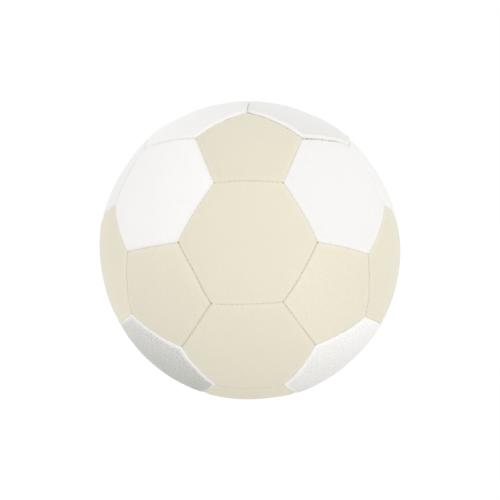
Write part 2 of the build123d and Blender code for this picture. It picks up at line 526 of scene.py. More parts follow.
def spline_weights(steps):
    """Weights that take a kite's coarse heights to steps, level across its inner borders."""
    cells = CLOTH_CELLS
    weights = np.zeros((len(steps), cells + 1))
    for row, step in enumerate(steps):
        cell = min(int(step * cells), cells - 1)
        t = step * cells - cell
        cubic = (
            (-(t**3) + 2 * t**2 - t) / 2,
            (3 * t**3 - 5 * t**2 + 2) / 2,
            (-3 * t**3 + 4 * t**2 + t) / 2,
            (t**3 - t**2) / 2,
        )
        for node, weight in zip(range(cell - 1, cell + 3), cubic):
            if node > cells:
                weights[row, cells] += 2 * weight
                weights[row, cells - 1] -= weight
            else:
                weights[row, abs(node)] += weight
    return weights


def unevenness(directions):
    points = directions * BALL_RADIUS
    height = LUMP_HEIGHT * smooth_noise(points, LUMP_SIZE, 0)
    height += DIMPLE_HEIGHT * smooth_noise(points, DIMPLE_SIZE, 1)
    for degrees, bulge in BULGES:
        turn = math.radians(degrees)
        middle = unit(RIGHT * math.cos(turn) + UPWARD * math.sin(turn) + FRONT * OUTLINE_FORWARD)
        gap = BALL_RADIUS * np.linalg.norm(directions - middle, axis=1)
        height += bulge * MM * bell(gap, BULGE_REACH)
    return height


def askew(directions):
    """The cover is sewn by hand, so some of its corners sit a little off their even places."""
    moved = directions.copy()
    for place, (right, up) in ASKEW.items():
        middle = unit(sum(MIDDLES[label] for label in place.split(" / ")))
        gap = BALL_RADIUS * np.linalg.norm(directions - middle, axis=1)
        shift = (RIGHT * right + UPWARD * up) * MM / BALL_RADIUS
        moved += bell(gap, ASKEW_REACH)[:, None] * shift
    return unit(moved)


def rolled(distances, radius):
    """How far a rounded edge drops below the surface, at distances in from it."""
    return radius - np.sqrt(radius**2 - np.clip(radius - distances, 0, radius) ** 2)


def edge_drop(distances, panel):
    """How far a panel drops into its seams: a tight roll at each side, and a soft shoulder."""
    distances = np.maximum(distances, 0)
    drops = rolled(distances, panel.rolls) + panel.shoulders * np.exp(-distances / SHOULDER_WIDTH)
    return (drops**CORNER_POWER).sum(axis=1) ** (1 / CORNER_POWER)


def puckers(panel, directions, distances, start):
    """Small gathers along the seams."""
    rng = random_draws(start)
    places = panel.side_places(directions)
    height = np.zeros(len(directions))
    for side in range(panel.sides):
        wave = np.zeros(len(directions))
        for size in PUCKER_SIZES:
            wave += rng.uniform(0.5, 1) * np.cos(
                2 * math.pi * places[:, side] / (size * rng.uniform(0.85, 1.15))
                + rng.uniform(0, 2 * math.pi)
            )
        height += wave * np.exp(-distances[:, side] / PUCKER_REACH)
    return height * PUCKER_HEIGHT


def on_floor(points, above=0.0):
    """Points pressed flat where the ball rests, at a height above the floor."""
    points = points - np.array([0, 0, above])
    points[:, 2] = FLOOR_SOFTNESS * np.logaddexp(0, points[:, 2] / FLOOR_SOFTNESS)
    return points + np.array([0, 0, above])


def inward_push(panel, distances):
    """Unit moves into the panel from its edge, longer at the corners so both sides move alike, how
    far the edge stands back from the seam, and how far it stands proud of its neighbour."""
    beyond = distances - distances.min(axis=1, keepdims=True)
    weight, soft_weight = (np.exp(-beyond / blend) for blend in (PUSH_BLEND, STAND_BLEND))
    push = unit(weight @ panel.inward)
    weight /= weight.sum(axis=1, keepdims=True)
    soft_weight /= soft_weight.sum(axis=1, keepdims=True)
    along = (push[:, None, :] * panel.inward[None]).sum(axis=2)
    push = push / (along * weight).sum(axis=1)[:, None]
    return push, weight @ panel.gaps, soft_weight @ panel.stands


def fine_steps(panel):
    """Steps from the middle of a panel to its side, close together near the side."""
    last = EDGE_ROWS[-1]
    rows = round((panel.reach - last) / ROW_SPACING)
    rows += -(rows + len(EDGE_ROWS) - 1) % INNER_ROWS_KEPT
    distances = np.concatenate([np.linspace(panel.reach, last, rows + 1), EDGE_ROWS[-2::-1]])
    return np.tan((panel.reach - distances) / BALL_RADIUS) / math.tan(panel.reach / BALL_RADIUS)


def raised_grid(panel, heights, steps, shrink=1.0):
    """A grid over a panel, shrunk towards its middle: (vertex numbers, unit vectors, heights)."""
    index, directions = welded(panel.grid(steps * shrink))
    weights = spline_weights(steps)
    base = np.zeros(len(directions))
    base[index] = np.einsum("ri,kij,cj->krc", weights, heights[panel.node], weights)
    return index, directions, base + unevenness(directions)


def panel_mesh(panel, heights, number):
    """A panel's outer side, its edges turned in along the seams, and its inner side, as one mesh."""
    steps = fine_steps(panel)
    index, directions, base = raised_grid(panel, heights, steps)
    distances = panel.side_distances(directions)
    away = np.maximum(distances.min(axis=1), 0)
    fade = np.clip(away / EDGE_FADE, 0, 1)
    push, gap, stand = inward_push(panel, distances)
    height = base - edge_drop(distances, panel)
    height += (RIM_HEIGHT[panel.slot] + stand) * bell(away - RIM_PLACE, RIM_WIDTH) * fade
    height += puckers(panel, directions, distances, 10 + number) * fade
    outer = CENTRE + askew(directions) * (BALL_RADIUS + height)[:, None]
    outer += push * (gap * (1 - fade))[:, None]

    # the turned-in edge, round the rim and down between the neighbouring panels
    rim = rim_loop(index)
    rings = []
    for depth, inset in TURNED_IN_EDGE:
        top = BALL_RADIUS + base[rim]
        lift = top - (top - LINING_RADIUS - 0.25 * MM) * depth / TURNED_IN_DEPTH
        ring = CENTRE + askew(directions[rim]) * lift[:, None]
        rings.append(ring + push[rim] * (gap[rim, None] + inset))

    # the inner side, with fewer rows
    shrink = 1 - (CLOTH_THICKNESS + SEAM_GAP + 0.15 * MM) / panel.reach
    kept = steps[::INNER_ROWS_KEPT]
    inner_index, inner_directions, inner_height = raised_grid(panel, heights, kept, shrink)
    inner_away = panel.side_distances(inner_directions) - CLOTH_THICKNESS
    inner_height -= CLOTH_THICKNESS + edge_drop(inner_away, panel)
    inner = CENTRE + askew(inner_directions) * (BALL_RADIUS + inner_height)[:, None]

    faces = grid_quads(index).tolist()
    count = len(rim)
    previous = rim
    for i in range(len(rings)):
        current = len(outer) + i * count + np.arange(count)
        faces += band(previous, current)
        previous = current
    inner_index = inner_index + len(outer) + len(rings) * count
    faces += grid_quads(inner_index)[:, ::-1].tolist()
    coarse = rim_loop(inner_index)
    per = INNER_ROWS_KEPT
    half = per // 2
    for i, (here, there) in enumerate(zip(coarse, np.roll(coarse, -1))):
        fine = [previous[(i * per + j) % count] for j in range(per + 1)]
        faces += [[fine[j], here, fine[j + 1]] for j in range(half)]
        faces.append([fine[half], here, there])
        faces += [[fine[j], there, fine[j + 1]] for j in range(half, per)]
    points = on_floor(np.concatenate([outer, *rings, inner]))
    return points, faces, directions, distances, stand


# How light some panels look: partly the nap, as the pile lies another way, and partly painted shade
# and light for how the light falls on each, strongest on hex side 7. In the middle of the panel,
# and how that changes per ball radius towards the ball's right and top
PANEL_TONES = {
    "hex side 7": (0.605, 0.33, 0.82),
    "hex side 1": (0.915, 0.05, 0.25),
    "hex side 11": (1.0, -0.2, 0),
    "hex side 5": (0.886, -0.2, 0.58),
    "hex side 9": (1.03, 0, 0),
    "hex 10": (1.04, 0, 0),
    "hex 2": (0.965, 0, 0),
    "hex centre": (1.01, 0, 0),
    "hex 6": (0.976, 0, 0.08),
    "pent side 6": (0.955, 0, 0),
    "pent side 2": (0.97, 0, 0),
    "pent 4": (1.018, -0.1, 0),
    "pent 8": (0.995, 0, 0.12),
    "pent 12": (0.985, 0, 0),
}
TONE_SPREAD = 0.008
# How strongly the lie of the nap shows: on most panels of each cloth, and on some
NAP = {"cream_fabric": 0.012, "white_fabric": 0.02}
PANEL_NAPS = {
    "hex side 7": 0.27,
    "hex side 5": 0.14,
    "pent 4": 0.035,
    "pent 8": 0.025,
    "pent 12": 0.02,
    "hex side 9": 0.03,
}
GRAIN_TURN = {"cream_fabric": 0.15, "white_fabric": math.pi}  # how far the knit may be turned
NAP_FADE = 0.85  # how much of the nap's strength is lost at a panel's edge
# Painted highlights along a cream panel's rim and beside its white neighbours, and painted shade
# along a white one's edge
CREAM_RIM_HIGHLIGHT = 0.02
EDGE_LIGHT, EDGE_LIGHT_WIDTH = 0.05, 1.3 * MM
EDGE_SHADE, EDGE_SHADE_WIDTH = 0.06, 1.5 * MM
# the tones white panels' rims are painted to: painted highlights, the brighter on raised rims
RIM_HIGHLIGHT_TONE, RAISED_RIM_HIGHLIGHT_TONE, RIM_TONE_WIDTH = 1.02, 1.09, 2.2 * MM


def panel_tone(panel, directions, distances, stand, number):
    """How light each point of a panel is, with painted shade and light across it, painted highlights
    along its rims and painted shade along a white panel's edge.
    """
    spread = random_draws(80 + number).normal(0, TONE_SPREAD)
    tone, right, up = PANEL_TONES.get(panel.label, (1 + spread, 0, 0))
    offset = directions - panel.middle
    # painted shade and light across the panel: its slope towards the ball's right and top
    tone = tone + right * (offset @ RIGHT) + up * (offset @ UPWARD)
    away = np.maximum(distances.min(axis=1), 0)
    if panel.slot == "cream_fabric":
        # painted highlights along the cream panel's rim and beside its white neighbours
        edge = (bell(distances, EDGE_LIGHT_WIDTH) * panel.by_white).max(axis=1)
        return tone * (1 + CREAM_RIM_HIGHLIGHT * bell(away - RIM_PLACE, RIM_WIDTH) + EDGE_LIGHT * edge)
    # painted highlight along a white panel's rim, on raised rims only where they face the front
    rim = bell(away, RIM_TONE_WIDTH)
    rim_highlight_tone = RIM_HIGHLIGHT_TONE
    if panel.label in LAPPING:
        rim_highlight_tone = RAISED_RIM_HIGHLIGHT_TONE
        rim = rim * np.clip((directions @ FRONT) / 0.45, 0, 1) * stand / LAPPING[panel.label]
    # painted shade along the white panel's edge, where it rolls into the seam
    return (tone * (1 - rim) + rim_highlight_tone * rim) * (1 - EDGE_SHADE * bell(away, EDGE_SHADE_WIDTH))


def make_panel(panel, heights, number, material):
    points, faces, directions, distances, stand = panel_mesh(panel, heights, number)
    outer_count = len(directions)
    piece = mesh_object(f"{panel.node}_panel", points, faces)
    # the cloth's own flat coordinates, for the knit
    flat = (points - CENTRE) / ((points - CENTRE) @ panel.middle)[:, None] * BALL_RADIUS
    level = unit(np.cross(UPWARD, panel.middle))
    flat = np.column_stack([flat @ level, flat @ np.cross(panel.middle, level)])
    spread = GRAIN_TURN[panel.slot]
    turn = random_draws(60 + number).uniform(-spread, spread)
    cos, sin = math.cos(turn), math.sin(turn)
    flat = flat @ np.array([[cos, sin], [-sin, cos]])
    mesh = piece.data
    corner_vertices = np.empty(len(mesh.loops), np.int64)
    mesh.loops.foreach_get("vertex_index", corner_vertices)
    mesh.uv_layers.new(name="cloth").data.foreach_set("uv", flat[corner_vertices].ravel())
    # how light each point is, and how strongly its nap shows
    tone, nap = np.ones(len(points)), np.ones(len(points))
    tone[:outer_count] = panel_tone(panel, directions, distances, stand, number)
    nap[:outer_count] -= NAP_FADE * bell(np.maximum(distances.min(axis=1), 0), RIM_TONE_WIDTH)
    give_values(piece, "tone", tone)
    give_values(piece, "nap", nap * PANEL_NAPS.get(panel.label, NAP[panel.slot]))
    finish_piece(piece, panel.node, material)


# ---- tubes: thread and cord ----


def tube(path, ups, radius, around=6):
    """Points and faces of a closed-ended tube along a path, ups pointing away from it."""
    along = unit(np.gradient(path, axis=0))
    ups = unit(ups - along * (ups * along).sum(axis=1, keepdims=True))
    sideways = np.cross(along, ups)
    turn = np.linspace(0, 2 * math.pi, around, endpoint=False)
    circle = np.cos(turn)[:, None, None] * ups + np.sin(turn)[:, None, None] * sideways
    points = (path + circle * radius).transpose(1, 0, 2).reshape(-1, 3)
    faces = bands(len(path), around)
    faces.append(list(range(around))[::-1])
    faces.append([(len(path) - 1) * around + j for j in range(around)])
    return points, faces


def joined(parts):
    """Several (points, faces) as one."""
    points, faces, start = [], [], 0
    for part_points, part_faces in parts:
        points.append(part_points)
        faces += [[i + start for i in face] for face in part_faces]
        start += len(part_points)
    return np.concatenate(points), faces


class Seam:
    """A seam between two panels, from one corner to the next."""

    def __init__(self, start, end, seam_heights, thread):
        self.middle = unit(start + end)
        self.across = unit(np.cross(start, end))
        self.ahead = np.cross(self.across, self.middle)
        self.half_angle = math.acos(self.middle @ end)
        directions, heights = seam_heights
        angles = np.arctan2(directions @ self.ahead, directions @ self.middle)
        on_it = (abs(directions @ self.across) < 1e-5) & (abs(angles) < self.half_angle + 1e-4)
        order = np.argsort(angles[on_it])
        self.angles = angles[on_it][order]
        self.heights = heights[on_it][order]
        self.thread_depth, self.thread_dip, self.hole_shade = thread

    def points(self, places, sideways, depths):
        """Points at places along the seam from its middle, at depths under the cover."""
        angles = places / BALL_RADIUS
        directions = np.outer(np.cos(angles), self.middle) + np.outer(np.sin(angles), self.ahead)
        lift = BALL_RADIUS + np.interp(angles, self.angles, self.heights)
        lift += unevenness(directions) - depths
        points = CENTRE + askew(directions) * lift[:, None]
        points += np.outer(sideways, self.across)
        return on_floor(points, THREAD_RADIUS + 0.1 * MM), directions


def seams_of(panels, pairs, seam_heights):
    found = {}
    for panel in panels:
        for i, side_middle in enumerate(panel.side_middles):
            key = seam_key(side_middle)
            if key in found:
                continue
            name = seam_name(pairs[key])
            whites = sum(p.slot == "white_fabric" for p in pairs[key])
            drawn = tightness(pairs[key], side_middle)
            if whites == 2:
                drawn = max(drawn, 1)
            thread = (THREAD_DEPTHS[whites] * drawn, THREAD_DIPS[whites], HOLE_SHADE)
            if name in GAPING:
                thread = (*GAPING[name][1:], OPEN_HOLE_SHADE)
            ends = panel.corners[i], panel.corners[(i + 1) % panel.sides]
            found[key] = Seam(*ends, seam_heights, thread)
    return list(found.values())


def machine_stitches(seam, start):
    """A line of lockstitches at the bottom of a seam, each one dipping into the cloth."""
    rng = random_draws(start)
    half = seam.half_angle * BALL_RADIUS - 0.45 * MM
    count = round(2 * half / STITCH_LENGTH)
    places = np.linspace(-half, half, count * POINTS_PER_STITCH + 1)
    phase = np.linspace(0, count, len(places))
    dip = (0.5 + 0.5 * np.cos(2 * math.pi * phase)) ** 3
    tension = np.interp(phase, np.arange(count + 1), rng.normal(0, 0.12 * MM, count + 1))
    depths = seam.thread_depth + seam.thread_dip * dip + tension
    sideways = 0.1 * MM * np.sin(2 * math.pi * phase + rng.uniform(0, 1))
    path, ups = seam.points(places, sideways, depths)
    # painted shade where the thread dips into the cloth
    shade = np.repeat(1 - seam.hole_shade * dip, THREAD_SIDES)
    return (*tube(path, ups, THREAD_RADIUS, THREAD_SIDES), shade)


def hand_stitches(seam, start):
    """A ladder stitch, crossing the seam from edge to edge, which drew the last seam shut."""
    rng = random_draws(start)
    half = seam.half_angle * BALL_RADIUS - 1.5 * MM
    rungs = round(2 * half / RUNG_SPACING)
    phase = np.linspace(0, rungs, rungs * POINTS_PER_RUNG + 1)
    ease = phase - np.sin(4 * math.pi * phase) / (4 * math.pi) * 0.9
    stretch = np.interp(phase, np.arange(rungs + 1), rng.normal(0, 0.25 * MM, rungs + 1))
    places = (ease / rungs * 2 - 1) * half + stretch
    sway = np.cos(math.pi * phase)
    dip = np.abs(sway) ** 3
    path, ups = seam.points(places, 0.75 * MM * sway, 1.0 * MM + 0.7 * MM * dip)
    # painted shade where the thread dips into the cloth
    shade = np.repeat(1 - HOLE_SHADE * dip, THREAD_SIDES)
    return (*tube(path, ups, THREAD_RADIUS, THREAD_SIDES), shade)


def make_thread(name, node, stitches, materials):
    """One piece of thread from the stitches of its seams, with how light each point is: painted
    shade where it goes into the cloth.
    """
    piece = mesh_object(name, *joined([(points, faces) for points, faces, _ in stitches]))
    give_values(piece, "tone", np.concatenate([shade for _, _, shade in stitches]))
    finish_piece(piece, node, materials[node])


# ---- inside the ball ----


def pad_mesh(panel, heights):
    """The foam behind a panel: a crowned slab with rounded edges."""
    inset = CLOTH_THICKNESS + PAD_CLEARANCE
    steps = np.array(PAD_STEPS) * (1 - inset / panel.reach)
    index, directions, base = raised_grid(panel, heights, steps)
    distances = panel.side_distances(directions)
    edge = rolled(np.maximum(distances.min(axis=1) - inset, 0), 1.3 * MM)
    sunk = edge_drop(distances - CLOTH_THICKNESS, panel)
    cells = 0.05 * MM * smooth_noise(directions * BALL_RADIUS, 9 * MM, 3)
    top = BALL_RADIUS + base - CLOTH_THICKNESS - 0.25 * MM - sunk - edge + cells
    bottom = LINING_RADIUS + 0.2 * MM + 0.3 * edge
    top = np.maximum(top, bottom + 0.7 * MM)
    places = askew(directions)
    points = CENTRE + np.concatenate([places * top[:, None], places * bottom[:, None]])
    rim, count = rim_loop(index), len(directions)
    faces = grid_quads(index).tolist()
    faces += (grid_quads(index)[:, ::-1] + count).tolist()
    faces += band(rim, rim + count)
    return on_floor(points, CLOTH_THICKNESS + 0.3 * MM), faces


def turned_shape(profile, around, shape_noise):
    """A closed shape turned about the ball's upright axis from a profile of (radius, height), the
    profile's ends on the axis. shape_noise(points) gives how far each point moves out."""
    turn = np.linspace(0, 2 * math.pi, around, endpoint=False)
    slope = np.gradient(profile, axis=0)
    normal = unit(np.column_stack([slope[:, 1], -slope[:, 0]]))
    ahead = np.roll(profile, -1, axis=0)
    if (profile[:, 0] * ahead[:, 1] - ahead[:, 0] * profile[:, 1]).sum() < 0:
        normal = -normal

    def rings(line):
        """Each (out, up) of a line, taken round the axis."""
        out, up = line[1:-1, :1], line[1:-1, 1:]
        ring = (out * np.cos(turn), out * np.sin(turn), up + 0 * turn)
        return np.stack(ring, axis=-1).reshape(-1, 3)

    points, normals = rings(profile), rings(normal)
    points = points + normals * shape_noise(points)[:, None]
    ends = np.array([[0, 0, profile[0, 1]], [0, 0, profile[-1, 1]]])
    first, last = len(points), len(points) + 1
    top = first - around
    faces = bands(len(profile) - 2, around)
    for j in range(around):
        k = (j + 1) % around
        faces += [[first, k, j], [last, top + j, top + k]]
    return np.concatenate([points, ends]) + CENTRE, faces


def arc(radius, start, end, count):
    """Points (radius from the axis, height) on a circle about the ball's centre, in degrees up."""
    turn = np.radians(np.linspace(start, end, count))
    return np.column_stack([radius * np.cos(turn), radius * np.sin(turn)])


def run(start, end, count):
    return np.linspace(start, end, count)


def on_axis(*stretches):
    """One profile of several stretches, its ends put on the axis."""
    profile = np.concatenate(stretches)
    profile[0, 0] = profile[-1, 0] = 0
    return profile


def half_ball_profile(outer, inner, side):
    """The profile of an upper (side 1) or lower (side -1) half of a hollow ball."""
    parting = 0.3 * MM
    start = math.degrees(math.asin(parting / outer))
    outside = arc(outer, 90, start, 46)
    flat = run((outer - 0.6 * MM, parting), (inner[0, 0], parting), 22)
    return on_axis(outside, flat, inner) * np.array([1, side])


def make_threads(pairs, seam_heights, materials):
    seams = seams_of(PANELS, pairs, seam_heights)
    seams.sort(key=lambda seam: seam.middle @ FRONT)
    closing, sewn = seams[0], seams[1:]  # the ball was sewn shut at the back
    stitches = [machine_stitches(seam, 100 + i) for i, seam in enumerate(sewn)]
    make_thread("seam_stitches", "seam_thread", stitches, materials)
    make_thread("closing_stitches", "closing_thread", [hand_stitches(closing, 99)], materials)


def make_pads(heights, material):
    for shape in ("hexagon", "pentagon"):
        pads = [pad_mesh(p, heights) for p in PANELS if p.node.startswith(shape)]
        piece = mesh_object(f"{shape}_foam_pads", *joined(pads))
        finish_piece(piece, f"{shape}_foam_backings", material)


def gored(points):
    """The lining's eight gores: it is drawn in where they are seamed together."""
    turn = np.arctan2(points[:, 1], points[:, 0])
    from_seam = np.abs((turn / (2 * math.pi) * GORES + 0.5) % 1 - 0.5)
    outer = np.linalg.norm(points, axis=1) > LINING_RADIUS - LINING_THICKNESS / 2
    seam = bell(from_seam, 0.02) * 0.25 * MM
    creases = 0.06 * MM * smooth_noise(points, 16 * MM, 4)
    return np.where(outer, -seam + creases - 0.1 * MM, seam * 0.3 + creases * 0.3)


def make_lining(material):
    outside = arc(LINING_RADIUS, 90, 0.35, 60)
    inside = arc(LINING_RADIUS - LINING_THICKNESS, 0.35, 90, 60)
    for name, side in (("upper", 1), ("lower", -1)):
        profile = on_axis(outside, inside) * np.array([1, side])
        piece = mesh_object(f"lining_bag_{name}_cloth", *turned_shape(profile, 160, gored))
        finish_piece(piece, f"lining_bag_{name}", material)


def tufted(points):
    tufts = 0.35 * MM * smooth_noise(points, 12 * MM, 5)
    tufts += 0.25 * MM * smooth_noise(points, 5 * MM, 6)
    return np.minimum(tufts - 0.5 * MM, 0)


def make_filling(material):
    """Two halves round the weight bag. Its neck reaches up into the upper one."""
    cavity = BAG_RADIUS + 0.5 * MM
    neck = 13.8 * MM
    neck_up = math.degrees(math.acos(neck / cavity))
    neck_top = BAG_TOP + 0.8 * MM
    insides = {
        "lower": arc(cavity, 0.5, 90, 34),
        "upper": np.concatenate(
            [
                arc(cavity, 0.5, neck_up, 26),
                run((neck, cavity * math.sin(math.radians(neck_up)) + MM), (neck, neck_top), 10),
                run((neck - MM, neck_top), (0, neck_top), 7),
            ]
        ),
    }
    for name, side in (("upper", 1), ("lower", -1)):
        profile = half_ball_profile(FILLING_RADIUS, insides[name], side)
        piece = mesh_object(f"fibre_filling_{name}_wad", *turned_shape(profile, 150, tufted))
        finish_piece(piece, f"fibre_filling_{name}", material)


def gathered(points):
    """The pleats of the weight bag, towards its bound neck."""
    turn = np.arctan2(points[:, 1], points[:, 0])
    radius = np.hypot(points[:, 0], points[:, 1])
    neck_share = np.clip((points[:, 2] - 0.55 * BAG_RADIUS) / (0.45 * BAG_RADIUS), 0, 1)
    pleats = np.cos(18 * turn + 1.1 * np.sin(5 * turn)) * 0.55 * MM * neck_share
    pleats *= np.clip(radius / (6 * MM), 0, 1)
    creases = 0.12 * MM * smooth_noise(points, 9 * MM, 8)
    return pleats + creases - 0.35 * MM - 0.3 * MM * neck_share


def bag_neck_line(start):
    """The weight bag's outline from its shoulder, in under the cord and out to its frill."""
    waist = TIE_RING_RADIUS - TIE_CORD_RADIUS - 0.2 * MM
    knots = np.array(
        [
            start,
            (start[0] * 0.72, start[1] + 3.0 * MM),
            (waist + 0.6 * MM, TIE_HEIGHT - 2.2 * MM),
            (waist, TIE_HEIGHT),
            (waist + 0.7 * MM, TIE_HEIGHT + 2.4 * MM),
            (waist + 3.4 * MM, BAG_TOP - 2.2 * MM),
            (waist + 4.4 * MM, BAG_TOP - 0.3 * MM),
        ]
    )
    fine = np.linspace(0, len(knots) - 1, 40)
    line = np.column_stack([np.interp(fine, range(len(knots)), column) for column in knots.T])
    kernel = np.ones(5) / 5
    for _ in range(2):
        for i in (0, 1):
            line[:, i] = np.convolve(np.pad(line[:, i], 2, mode="edge"), kernel, "valid")
    return line


def make_weight_bag(material):
    side = arc(BAG_RADIUS, -90, 62, 60)
    neck = bag_neck_line(side[-1])
    mouth = run((neck[-1, 0] - 1.3 * MM, BAG_TOP - 0.8 * MM), (0, BAG_TOP - 3.5 * MM), 10)
    points, faces = turned_shape(on_axis(side, neck[1:], mouth), 144, gathered)
    cavity = on_axis(arc(BAG_RADIUS - CANVAS_THICKNESS, -90, 90, 60))
    hollow, hollow_faces = turned_shape(cavity, 96, lambda inside: np.zeros(len(inside)))
    shells = [(points, facing(points, faces)), (hollow, facing(hollow, hollow_faces, side=-1))]
    piece = mesh_object("weight_bag_canvas", *joined(shells), hollow=True)
    finish_piece(piece, "weight_bag", material)


def make_cord(material):
    """A cord of twisted strands, bound round the weight bag's neck."""
    strands = []
    lie = TIE_CORD_RADIUS * 0.27
    whole = CORD_TURNS * 2 * math.pi
    turn = np.linspace(0, whole, 260)
    for strand in range(CORD_STRANDS):
        twist = turn * CORD_TWISTS + strand * 2 * math.pi / CORD_STRANDS
        radius = TIE_RING_RADIUS + lie * np.cos(twist)
        rise = lie * np.sin(twist) + (turn / whole - 0.5) * TIE_CORD_RADIUS * 1.1
        path = np.column_stack([radius * np.cos(turn), radius * np.sin(turn), TIE_HEIGHT + rise])
        strands.append(tube(path + CENTRE, path * np.array([1, 1, 0]), TIE_CORD_RADIUS * 0.475))
    piece = mesh_object("weight_bag_cord", *joined(strands))
    finish_piece(piece, "weight_bag_tie", material)


def make_grit(material):
    """A packed ball of grains, each one rounded above the gaps round it."""
    bm = bmesh.new()
    bmesh.ops.create_icosphere(bm, subdivisions=6, radius=GRIT_RADIUS - 0.5 * MM)
    directions = unit(np.array([v.co[:] for v in bm.verts]))
    grains = unit(random_draws(9).normal(size=(GRAINS, 3)))
    nearest = np.array([np.partition(grains @ d, -2)[-2:] for d in directions])
    edge = np.clip((nearest[:, 1] - nearest[:, 0]) * GRAIN_STEEPNESS, 0, 1)
    moved = directions * (GRIT_RADIUS - 0.9 * MM + 0.7 * MM * np.sqrt(edge))[:, None]
    for vertex, place in zip(bm.verts, moved):
        vertex.co = place + CENTRE
    piece = bmesh_object("grit_grains", bm)
    piece.data.shade_smooth()
    finish_piece(piece, "grit_filling", material)


# ---- materials ----


class Nodes:
    """A short way to write a material's nodes."""

    def __init__(self, name, specular, sheen=0.0, sheen_roughness=0.5):
        self.material = bpy.data.materials.new(name)
        self.material.use_nodes = True
        self.tree = self.material.node_tree
        self.shader = self.tree.nodes["Principled BSDF"]
        self.give(self.shader, "Specular IOR Level", specular)
        self.give(self.shader, "Sheen Weight", sheen)
        self.give(self.shader, "Sheen Roughness", sheen_roughness)

    def give(self, node, key, value):
        """Sets a node's input to a value, or to another node's output."""
        if isinstance(value, bpy.types.NodeSocket):
            self.tree.links.new(value, node.inputs[key])
        else:
            node.inputs[key].default_value = value

    def add(self, kind, inputs=None, **settings):
        node = self.tree.nodes.new(kind)
        for key, value in settings.items():
            setattr(node, key, value)
        for key, value in (inputs or {}).items():
            self.give(node, key, value)
        return node

    def place(self):
        return self.add("ShaderNodeTexCoord").outputs["Object"]

    def attribute(self, name):
        return self.add("ShaderNodeAttribute", attribute_name=name).outputs["Fac"]

    def math(self, operation, a, b):
        return self.add("ShaderNodeMath", {0: a, 1: b}, operation=operation).outputs[0]

    def product(self, *factors):
        return functools.reduce(lambda a, b: self.math("MULTIPLY", a, b), factors)

    def waves(self, vector, direction, spacing, **more):
        """Bands at a spacing. A wave texture of scale 1 has them pi / 10 apart."""
        inputs = {"Vector": vector, "Scale": math.pi / 10 / spacing, **more}
        settings = {"wave_type": "BANDS", "bands_direction": direction}
        return self.add("ShaderNodeTexWave", inputs, **settings).outputs["Fac"]

    def noise(self, vector, scale, detail=2.0, roughness=0.5):
        inputs = {"Vector": vector, "Scale": scale, "Detail": detail, "Roughness": roughness}
        return self.add("ShaderNodeTexNoise", inputs).outputs[0]

    def stretched(self, vector, scale, turn):
        inputs = {"Vector": vector, "Scale": scale, "Rotation": (0, 0, turn)}
        return self.add("ShaderNodeMapping", inputs).outputs[0]

    def ranged(self, value, from_low, from_high, low, high):
        """A value made to run from low to high between from_low and from_high."""
        ends = {"From Min": from_low, "From Max": from_high, "To Min": low, "To Max": high}
        return self.add("ShaderNodeMapRange", {"Value": value, **ends}).outputs[0]

    def between(self, value, low, high):
        """A value about 0.5 wide round 0.5, made to run from low to high."""
        return self.ranged(value, 0.25, 0.75, low, high)

    def tinted(self, colour, *factors):
        """A colour times some factors near 1."""
        inputs = {0: colour, "Scale": self.product(*factors)}
        return self.add("ShaderNodeVectorMath", inputs, operation="SCALE").outputs[0]

    def output(self, colour, height, distance, roughness):
        bump = self.add("ShaderNodeBump", {"Height": height, "Distance": distance})
        self.give(self.shader, "Base Color", colour)
        self.give(self.shader, "Roughness", roughness)
        self.give(self.shader, "Normal", bump.outputs[0])
        return self.material


def cover_cloth(name, colour, shade, grain, nap_scale, nap_turn, nap_height):
    """Brushed knit: fine loops under a nap. A panel takes on the shade colour as its tone falls, the
    hue of its painted shade.
    """
    nodes = Nodes(name, 0.2, sheen=0.35, sheen_roughness=0.35)
    cloth = nodes.add("ShaderNodeUVMap", uv_map="cloth").outputs[0]
    tone, strength = nodes.attribute("tone"), nodes.attribute("nap")
    wales = nodes.waves(cloth, "X", 0.55 * MM, Distortion=4.0, Detail=1.0)
    courses = nodes.waves(cloth, "Y", 0.7 * MM, Distortion=4.0, Detail=1.0)
    knit = nodes.product(wales, courses)
    fuzz = nodes.noise(cloth, 800.0, 3.0)
    nap = nodes.noise(nodes.stretched(cloth, nap_scale, nap_turn), 1.0, 3.0)
    patches = nodes.noise(cloth, 40.0)
    # the hue of the painted shade on darker panels
    shaded = nodes.ranged(tone, 1.0, 0.6, 0.0, 1.0)
    ends = {"Factor": nodes.product(shaded, shaded), 6: (*colour, 1), 7: (*shade, 1)}
    dyed = nodes.add("ShaderNodeMix", ends, data_type="RGBA").outputs[2]
    colour_out = nodes.tinted(
        dyed,
        tone,
        nodes.math("ADD", nodes.product(nodes.between(nap, -1.0, 1.0), strength), 1.0),
        nodes.between(knit, 1 - grain * 0.3, 1 + grain * 0.2),
        nodes.between(fuzz, 1 - grain, 1 + grain * 0.6),
        nodes.between(patches, 0.992, 1.005),
    )
    height = nodes.math("ADD", nodes.product(knit, 0.4), nodes.product(fuzz, 0.6))
    height = nodes.math("ADD", height, nodes.product(nap, nap_height))
    return nodes.output(colour_out, height, 0.05 * MM, nodes.between(fuzz, 0.8, 0.92))


def spun(name, colour, twist_scale, toned=True):
    """Thread or cord: fine slanting fibres, with painted shade on the thread where it goes into the
    needle holes.
    """
    nodes = Nodes(name, 0.3, sheen=0.1)
    slanted = nodes.stretched(nodes.place(), (1.0, 1.0, 2.5), 0.6)
    fibres = nodes.noise(slanted, twist_scale, 3.0, 0.6)
    tones = [nodes.between(fibres, 0.9, 1.05)]
    if toned:
        tones.append(nodes.attribute("tone"))
    roughness = nodes.between(fibres, 0.65, 0.85)
    return nodes.output(nodes.tinted(colour, *tones), fibres, 0.08 * MM, roughness)


